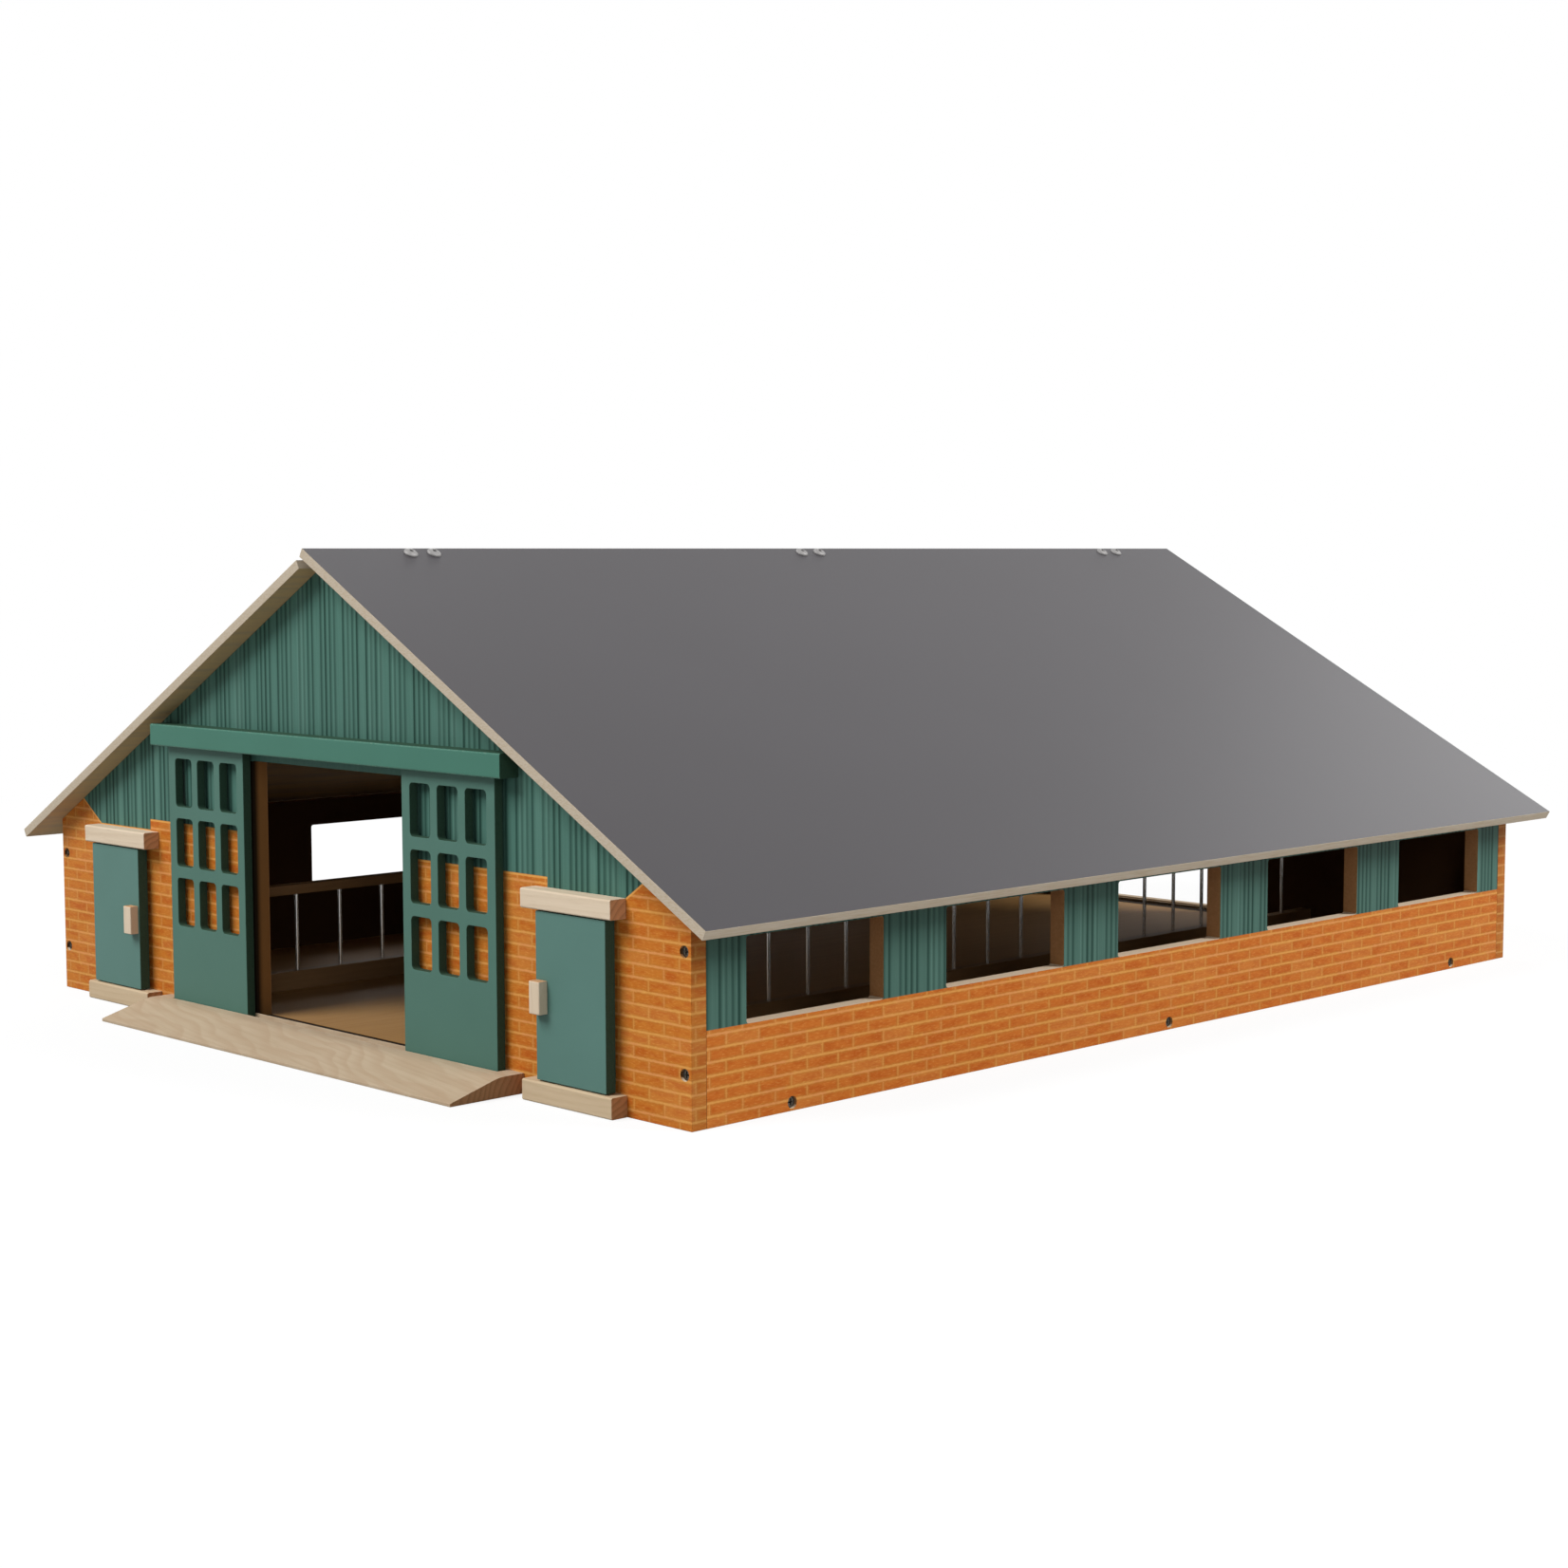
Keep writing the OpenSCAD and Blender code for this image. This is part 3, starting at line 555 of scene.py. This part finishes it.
def bare_wood(name, colour, grain="X", tilt=0.0, seed=0.0, figure=0.0):
    """Planed wood: soft streaks and short pores along one axis, and darker sawn ends with growth rings. The
    figure is how strongly broad wavy bands show on the faces."""
    finish = Finish(name)
    run = dict(zip("XYZ", finish.place()))
    ends = dict(zip("XYZ", finish.facing()))[grain].size().step(0.7, 0.9)
    length = run[grain]
    first, second = (run[a] for a in "XYZ" if a != grain)
    u, v = first + length * tilt + seed * 17.0, second + seed * 31.0
    bend = finish.noise(finish.vector(length * 0.006, u * 0.03, v * 0.03), 1.0, 2.0)
    radius = ((u + 40.0) * (u + 40.0) + (v + 70.0) * (v + 70.0)).math("SQRT")
    ring = ((radius + bend * 16.0) / 3.1).part()
    late = ring.step(0.3, 0.95) * ring.step(0.95, 1.0, 1.0, 0.0)
    wave = finish.noise(finish.vector(length * 0.01, u * 0.02, v * 0.02), 1.0, 2.0)
    band = ((u + length * 0.3 + wave * 85.0 + bend * 12.0) / 13.0).part()
    band = band.step(0.1, 0.85) * band.step(0.85, 1.0, 1.0, 0.0) * figure
    pore = finish.noise(finish.vector(length * 0.06, u * 1.5, v * 1.5), 1.0, 4.0, 0.65)
    streak = finish.noise(finish.vector(length * 0.01, u * 0.22, v * 0.22), 1.0, 3.0)
    red, green, blue, alpha = colour
    deep = (red * 0.72, green * 0.66, blue * 0.58, alpha)
    sawn = (red * 0.98, green * 0.66, blue * 0.45, alpha)
    grainy = (late * 0.16 + pore.step(0.5, 0.8) * 0.35 + streak * 0.65 - 0.18).clear()
    face = finish.mix(band, finish.mix(grainy, colour, deep), (red * 0.8, green * 0.71, blue * 0.65, alpha))
    end = finish.mix(late * 0.3 + pore * 0.4, sawn, finish.mix(0.75, sawn, srgb("4a2c14")))
    rough = ends * 0.15 + pore * 0.12 + 0.6
    relief = finish.bump(pore * 0.7 + late * 0.3, 0.25, 0.1 * MM)
    return finish.surface(
        {
            "Base Color": finish.mix(ends, face, end),
            "Roughness": rough,
            "Normal": relief,
            "Specular IOR Level": 0.12,
        }
    )


def roof_laminate(looks):
    """Grey laminate above, a bare board below, and pale fibrous edges."""
    finish = Finish("roof_laminate")
    x, y, z, where = finish.place()
    nx, _, nz = finish.facing()
    lean = nx.size() * math.sin(ROOF_PITCH) + nz * math.cos(ROOF_PITCH)
    above = lean.step(0.93, 0.98)
    below = (lean * -1).step(0.3, 0.5)
    grain = finish.noise(where, 2.6, 3.0, 0.65)
    cloud = finish.noise(where, 0.01, 2.0)
    top = finish.mix(grain * 0.35 + cloud * 0.2, looks.laminate, looks.fleck)
    fibre = finish.noise(finish.vector(x * 0.5, y * 0.07, z * 1.8), 1.0, 4.0, 0.6)
    edge = finish.mix(fibre.step(0.35, 0.75) * 0.6, looks.core, looks.core_dark)
    veneer = finish.noise(finish.vector(x * 0.25, y * 0.012, z * 0.25), 1.0, 4.0, 0.65)
    mottle = finish.noise(where, 0.5, 4.0, 0.7) * 0.45 + veneer.step(0.4, 0.7, 0.0, 0.6)
    under = finish.mix(mottle.clear(), looks.underside, looks.core_dark)
    colour = finish.mix(above, finish.mix(below, edge, under), top)
    rough = above * -0.44 + grain * 0.08 + 0.78
    relief = finish.bump(grain * above * 0.4 + fibre * (1 - above), 0.12, 0.1 * MM)
    return finish.surface(
        {"Base Color": colour, "Roughness": rough, "Normal": relief, "Specular IOR Level": 0.4}
    )


def plated_metal(name, colour, rough, metallic=1.0, wear=1.0):
    """Plated steel or aluminium with fine scratches and cloudy plating, as far as it is worn."""
    finish = Finish(name)
    x, y, z, where = finish.place()
    cloud = finish.noise(where, 0.6, 3.0)
    scratch = finish.noise(finish.vector(x * 0.4, y * 6.0, z * 0.4), 1.0, 2.0)
    shade = finish.mix(cloud * (0.6 * wear), colour, tuple(0.45 * c for c in colour[:3]) + (1.0,))
    dull = cloud * (0.2 * wear) + rough
    relief = finish.bump(scratch, 0.1 * wear, 0.05 * MM)
    return finish.surface({"Base Color": shade, "Metallic": metallic, "Roughness": dull, "Normal": relief})


def node_mesh(node):
    """A merged copy of a node's mesh."""
    bm = bmesh.new()
    bm.from_mesh(frame["nodes"][node].data)
    bmesh.ops.remove_doubles(bm, verts=bm.verts, dist=MERGE)
    return bm


def shown(name, bm, body, finish):
    """Makes a piece of a finished bmesh, smooth up to an angle, that rides on a body."""
    for face in bm.faces:
        face.smooth = True
    for edge in bm.edges:
        if edge.is_manifold:
            edge.smooth = edge.calc_face_angle(0.0) < SMOOTH
    mesh = bpy.data.meshes.new(name)
    bm.to_mesh(mesh)
    bm.free()
    mesh.materials.append(finish)
    piece = bpy.data.objects.new(name, mesh)
    bpy.context.scene.collection.objects.link(piece)
    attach(piece, body)
    return piece


def eased(node, radius, finish, segments=2, rims=False, clamp=True):
    """Stands in for a node with a copy of it whose outer edges are slightly rounded. The short edges round
    drilled holes stay sharp, unless the rims are to be rounded too. The clamp holds the radius back on narrow
    steps."""
    bm = node_mesh(node)
    bmesh.ops.dissolve_limit(bm, angle_limit=FLAT, verts=bm.verts, edges=bm.edges)
    outer = [e for e in bm.edges if e.is_manifold and e.is_convex and e.calc_face_angle(0.0) > SHARP]
    edges = [e for e in outer if rims or e.calc_length() > 1.5 * radius]
    bmesh.ops.bevel(
        bm,
        geom=edges,
        offset=radius,
        offset_type="OFFSET",
        affect="EDGES",
        segments=segments,
        profile=0.5,
        material=-1,
        clamp_overlap=clamp,
    )
    piece = shown(node + "_board", bm, BODY_OF[node], finish)
    normals = piece.modifiers.new("Normals", "WEIGHTED_NORMAL")
    normals.keep_sharp = True
    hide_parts(node)


def paint(node, finish):
    """Gives a carried-over node its finish."""
    carried = frame["nodes"][node]
    for slot in carried.material_slots:
        slot.material = finish
    if not carried.material_slots:
        carried.data.materials.append(finish)


class Fitting:
    """Place and size of one round fitting. Its axis points outwards, and its origin is its head's seat."""

    def __init__(self, points, outward):
        middle = sum(points, Vector()) / len(points)
        height = [(p - middle).dot(outward) for p in points]
        reach = [((p - middle) - outward * h).length for p, h in zip(points, height)]
        self.radius = max(reach)
        seat = min(h for h, r in zip(height, reach) if r > 0.98 * self.radius)
        self.head = max(height) - seat
        self.foot = min(height) - seat
        turn = outward.to_track_quat("Z", "Y").to_matrix().to_4x4()
        self.place = Matrix.Translation(middle + outward * seat) @ turn


def fittings(node, outward):
    """The separate solids of a node as fittings, in the order of its mesh, so that each run gives the same.
    The function outward gives the way that a solid faces."""
    bm = node_mesh(node)
    seen = set()
    found = []
    for first in bm.verts:
        if first in seen:
            continue
        seen.add(first)
        solid = [first]
        for vert in solid:
            for edge in vert.link_edges:
                other = edge.other_vert(vert)
                if other not in seen:
                    seen.add(other)
                    solid.append(other)
        points = [v.co.copy() for v in solid]
        found.append(Fitting(points, outward(points[0])))
    bm.free()
    return found


def turned(profile, segments):
    """A solid turned about Z from pairs of radius and height."""
    bm = bmesh.new()
    verts = [bm.verts.new((radius, 0.0, height)) for radius, height in profile]
    edges = [bm.edges.new(pair) for pair in zip(verts, verts[1:])]
    bmesh.ops.spin(
        bm, geom=verts + edges, cent=(0, 0, 0), axis=(0, 0, 1), angle=math.tau, steps=segments, use_merge=True
    )
    bmesh.ops.remove_doubles(bm, verts=bm.verts, dist=FINE_MERGE)
    bmesh.ops.recalc_face_normals(bm, faces=bm.faces)
    return bm


def rivet(size, segments):
    """Blind rivet: a domed head with the hole of its broken mandrel, a shank and a swollen tail."""
    hole, shank, tail = size.radius * 0.3, size.radius * 0.39, size.radius * 0.57
    rim = size.head * 0.18
    arc = [math.radians(a) for a in range(0, 91, 15)]
    across, up = size.radius - hole, size.head - rim
    inside = [(0.0, size.head * 0.25), (hole, size.head * 0.25), (hole, size.head * 0.9)]
    dome = [(hole + across * math.cos(a), rim + up * math.sin(a)) for a in reversed(arc)]
    stem = [(size.radius, 0.0), (shank, 0.0), (shank, size.foot + size.head)]
    swollen = [(tail, size.foot + size.head * 0.8), (tail * 0.9, size.foot), (0.0, size.foot)]
    return turned(inside + dome + stem + swollen, segments)


def screw(size, half_cross, segments):
    """Countersunk screw with a cross recess in its head and a pointed tip."""
    recess, shank = size.radius * 0.6, size.radius * 0.53
    cone = size.radius * 0.57
    stem = [(size.radius * 0.9, 0.0), (size.radius, -0.1 * MM), (shank, -cone), (shank, size.foot + shank)]
    bm = turned([(recess, 0.0)] + stem + [(0.0, size.foot)], segments)
    rim = [e for e in bm.edges if e.is_boundary]
    disc = bmesh.ops.holes_fill(bm, edges=rim, sides=0)["faces"]
    for axis in (Vector((1, 0, 0)), Vector((0, 1, 0))):
        for side in (-half_cross, half_cross):
            edges = dict.fromkeys(e for f in disc for e in f.edges)
            verts = dict.fromkeys(v for f in disc for v in f.verts)
            cut = bmesh.ops.bisect_plane(
                bm, geom=[*disc, *edges, *verts], plane_co=axis * side, plane_no=axis, dist=FINE_MERGE
            )
            disc = [g for g in cut["geom"] if isinstance(g, bmesh.types.BMFace)]
    cross = [f for f in disc if min(abs(c) for c in f.calc_center_median()[:2]) < half_cross]
    sunk = bmesh.ops.extrude_face_region(bm, geom=cross)["geom"]
    floor = [g for g in sunk if isinstance(g, bmesh.types.BMVert)]
    bmesh.ops.delete(bm, geom=[f for f in cross if f.is_valid], context="FACES_ONLY")
    bmesh.ops.scale(bm, vec=(0.55, 0.55, 1.0), verts=floor)
    bmesh.ops.translate(bm, vec=(0, 0, -recess * 0.8), verts=floor)
    bmesh.ops.recalc_face_normals(bm, faces=bm.faces)
    return bm


def fitted(node, outward, finish, make):
    """Stands in for a node of like fittings with one piece that holds a modelled fitting at each place."""
    whole = bmesh.new()
    for size in fittings(node, outward):
        bm = make(size)
        bm.transform(size.place)
        mesh = bpy.data.meshes.new("fitting")
        bm.to_mesh(mesh)
        bm.free()
        whole.from_mesh(mesh)
        bpy.data.meshes.remove(mesh)
    piece = shown(node.rstrip("s") + "_set", whole, BODY_OF[node], finish)
    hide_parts(node)


class BARN_OT_boards(bpy.types.Operator):
    """Dresses the gables, the side walls and the floor board"""

    bl_idname = "barn.boards"
    bl_label = "Boards"

    def execute(self, context):
        looks = context.scene.barn_boards
        finish = printed_board(looks)
        floor = bare_wood("floor_wood", context.scene.barn_wood.floor, grain="Y", seed=2.0)
        for node in ("front_gable", "back_gable"):
            eased(node, looks.corner, finish, segments=3, clamp=False)
        for node in ("left_wall", "right_wall"):
            eased(node, looks.edge, finish, clamp=False)
        eased("floor_board", looks.edge, floor)
        return {"FINISHED"}


class BARN_OT_roof(bpy.types.Operator):
    """Dresses the two roof panels"""

    bl_idname = "barn.roof"
    bl_label = "Roof"

    def execute(self, context):
        looks = context.scene.barn_roof
        finish = roof_laminate(looks)
        for side in SIDES:
            eased(side + "_roof_panel", looks.edge, finish)
        return {"FINISHED"}


class BARN_OT_fittings(bpy.types.Operator):
    """Makes the rivets and the screws, and dresses the hinges and pins"""

    bl_idname = "barn.fittings"
    bl_label = "Fittings"

    def execute(self, context):
        looks = context.scene.barn_fittings
        sides = looks.segments
        steel = plated_metal("zinc_steel", looks.steel, rough=0.38)
        aluminium = plated_metal("rivet_aluminium", looks.aluminium, rough=0.5, metallic=0.4)
        screw_steel = plated_metal("screw_steel", looks.screw, rough=0.35)
        for node in ("fixed_hinge_leaves", "lifting_hinge_leaves"):
            eased(node, looks.edge, steel)
        for node in ("hinge_pins", "left_door_pins", "right_door_pins"):
            paint(node, steel)
        slope = Vector((math.sin(ROOF_PITCH), 0.0, math.cos(ROOF_PITCH)))
        mirrored = Vector((-slope.x, 0.0, slope.z))
        fitted("fixed_rivets", lambda point: mirrored, aluminium, lambda size: rivet(size, sides))
        fitted("lifting_rivets", lambda point: slope, aluminium, lambda size: rivet(size, sides))
        fitted(
            "gable_screws",
            lambda point: Vector((0.0, math.copysign(1.0, point.y), 0.0)),
            screw_steel,
            lambda size: screw(size, looks.recess, sides),
        )
        fitted(
            "floor_screws",
            lambda point: Vector((math.copysign(1.0, point.x), 0.0, 0.0)),
            screw_steel,
            lambda size: screw(size, looks.recess, sides),
        )
        return {"FINISHED"}


class BARN_OT_doors(bpy.types.Operator):
    """Dresses the sliding doors, their tracks, and the small doors with their handles"""

    bl_idname = "barn.doors"
    bl_label = "Doors"

    def execute(self, context):
        looks = context.scene.barn_paint
        wood = context.scene.barn_wood
        sliding = painted_board("sliding_door_paint", looks.sliding_door, looks)
        small = painted_board("small_door_paint", looks.small_door, looks)
        track = painted_board("track_paint", looks.track, looks)
        handle = bare_wood("handle_wood", wood.pale, grain="Z", tilt=0.02, seed=5.0)
        for end in ENDS:
            eased(end + "_door_track", looks.edge, track)
            for side in SIDES:
                eased(f"{end}_{side}_sliding_door", looks.edge, sliding, rims=True, clamp=False)
        for side in SIDES:
            eased(side + "_person_door", looks.edge, small)
            eased(side + "_door_handle", wood.edge, handle)
        return {"FINISHED"}


class BARN_OT_woodwork(bpy.types.Operator):
    """Dresses the ramps, the lintels, the steps and the feed fences"""

    bl_idname = "barn.woodwork"
    bl_label = "Woodwork"

    def execute(self, context):
        looks = context.scene.barn_wood
        bright = context.scene.barn_fittings.bar
        steel = plated_metal("bar_steel", bright, rough=0.24, metallic=0.85, wear=0.1)
        ramp = bare_wood("ramp_wood", looks.ramp, tilt=0.12, seed=1.0, figure=0.42)
        for end in ENDS:
            eased(end + "_ramp", looks.edge, ramp)
        for number, side in enumerate(SIDES):
            lintel = bare_wood(side + "_lintel_wood", looks.pale, tilt=0.03, seed=3.0 + number)
            eased(side + "_lintel", looks.edge, lintel)
            step = bare_wood(side + "_step_wood", looks.warm, tilt=0.02, seed=5.0 + number)
            eased(side + "_step", looks.edge, step)
            # The fence wood colour includes painted shade for the inside of the barn.
            rail = bare_wood(side + "_fence_wood", looks.fence, grain="Y", seed=7.0 + number)
            eased(side + "_feed_curb", looks.edge, rail)
            eased(side + "_feed_rail", looks.edge, rail)
            paint(side + "_feed_bars", steel)
        return {"FINISHED"}


class BARN_OT_stage(bpy.types.Operator):
    """Sets up the camera, the lamps, the surroundings and the floor"""

    bl_idname = "barn.stage"
    bl_label = "Stage"

    def execute(self, context):
        looks = context.scene.barn_stage
        self.camera(context, looks)
        for name, (place, size) in LAMPS.items():
            self.lamp(context, name, place, size, getattr(looks, name.lower() + "_power"))
        self.surroundings(context, looks.fill)
        self.floor(context, looks)
        return {"FINISHED"}

    def camera(self, context, looks):
        data = bpy.data.cameras.new("Camera")
        data.lens, data.sensor_width = looks.lens, SENSOR_WIDTH
        data.clip_start, data.clip_end = 0.05, 50.0
        camera = bpy.data.objects.new("Camera", data)
        context.scene.collection.objects.link(camera)
        camera.location = looks.eye
        camera.rotation_mode = "QUATERNION"
        camera.rotation_quaternion = (
            Quaternion((0, 0, 1), looks.turn)
            @ Quaternion((1, 0, 0), math.pi / 2 - looks.dip)
            @ Quaternion((0, 0, 1), looks.roll)
        )
        context.scene.camera = camera

    def lamp(self, context, name, place, size, power):
        data = bpy.data.lights.new(name, "AREA")
        data.shape, data.size, data.energy = "SQUARE", size, power
        lamp = bpy.data.objects.new(name, data)
        context.scene.collection.objects.link(lamp)
        lamp.location = place
        lamp.rotation_mode = "QUATERNION"
        lamp.rotation_quaternion = (LAMP_AIM - Vector(place)).to_track_quat("-Z", "Y")

    def surroundings(self, context, fill):
        """White where it is seen or mirrored, and an even low light elsewhere."""
        world = context.scene.world or bpy.data.worlds.new("Studio")
        context.scene.world = world
        finish = Finish("Studio", world)
        strength = finish.seen() * (1.0 - fill) + fill
        glow = finish.node("ShaderNodeBackground", {}, {"Color": (1, 1, 1, 1), "Strength": strength})
        finish.node("ShaderNodeOutputWorld", {}, {"Surface": glow["Background"]})

    def floor(self, context, looks):
        """A wide pale floor that keeps a faint shadow of the barn and turns plain white further out."""
        bm = bmesh.new()
        bmesh.ops.create_circle(bm, cap_ends=True, segments=64, radius=FLOOR_RADIUS)
        bmesh.ops.translate(bm, vec=(0, 0, -FLOOR_DROP), verts=bm.verts)
        mesh = bpy.data.meshes.new("Floor")
        bm.to_mesh(mesh)
        bm.free()
        finish = Finish("floor_white")
        x, y, *_ = finish.place()
        reach = (x * x + y * y).math("SQRT")
        share = reach.step(looks.floor_edge / MM * 0.35, looks.floor_edge / MM, looks.floor_white, 1.0)
        tone = finish.mix(finish.seen(), looks.floor, (0.95, 0.95, 0.95, 1.0))
        matt = finish.node("ShaderNodeBsdfDiffuse", {}, {"Color": tone})["BSDF"]
        white = finish.node("ShaderNodeEmission", {}, {"Color": (1, 1, 1, 1), "Strength": 1.0})["Emission"]
        mixed = finish.node("ShaderNodeMixShader", {}, {0: finish.seen() * share, 1: matt, 2: white})
        finish.node("ShaderNodeOutputMaterial", {}, {"Surface": mixed["Shader"]})
        mesh.materials.append(finish.material)
        floor = bpy.data.objects.new("Floor", mesh)
        context.scene.collection.objects.link(floor)


class BARN_PT_looks(bpy.types.Panel):
    """Sizes and colours of the toy barn"""

    bl_idname = "BARN_PT_looks"
    bl_label = "Toy Barn"
    bl_space_type = "VIEW_3D"
    bl_region_type = "UI"
    bl_category = "Toy Barn"

    def draw(self, context):
        layout = self.layout
        for name in LOOKS:
            box = layout.box()
            group = getattr(context.scene, name)
            for key in group.bl_rna.properties.keys():
                if key not in ("rna_type", "name"):
                    box.prop(group, key)
        for operator in OPERATORS:
            layout.operator(operator.bl_idname)


LOOKS = {
    "barn_boards": BoardLooks,
    "barn_paint": PaintLooks,
    "barn_wood": WoodLooks,
    "barn_roof": RoofLooks,
    "barn_fittings": FittingLooks,
    "barn_stage": StageLooks,
}
OPERATORS = (
    BARN_OT_stage,
    BARN_OT_boards,
    BARN_OT_roof,
    BARN_OT_fittings,
    BARN_OT_doors,
    BARN_OT_woodwork,
)


def register():
    for name, group in LOOKS.items():
        bpy.utils.register_class(group)
        setattr(bpy.types.Scene, name, PointerProperty(type=group))
    for operator in OPERATORS:
        bpy.utils.register_class(operator)
    bpy.utils.register_class(BARN_PT_looks)


def unregister():
    bpy.utils.unregister_class(BARN_PT_looks)
    for operator in reversed(OPERATORS):
        bpy.utils.unregister_class(operator)
    for name, group in reversed(LOOKS.items()):
        delattr(bpy.types.Scene, name)
        bpy.utils.unregister_class(group)


def main():
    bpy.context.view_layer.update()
    bpy.context.scene.view_settings.view_transform = "Standard"
    register()
    bpy.ops.barn.stage()
    bpy.ops.barn.boards()
    bpy.ops.barn.roof()
    bpy.ops.barn.fittings()
    bpy.ops.barn.doors()
    bpy.ops.barn.woodwork()


if __name__ == "__main__":
    main()
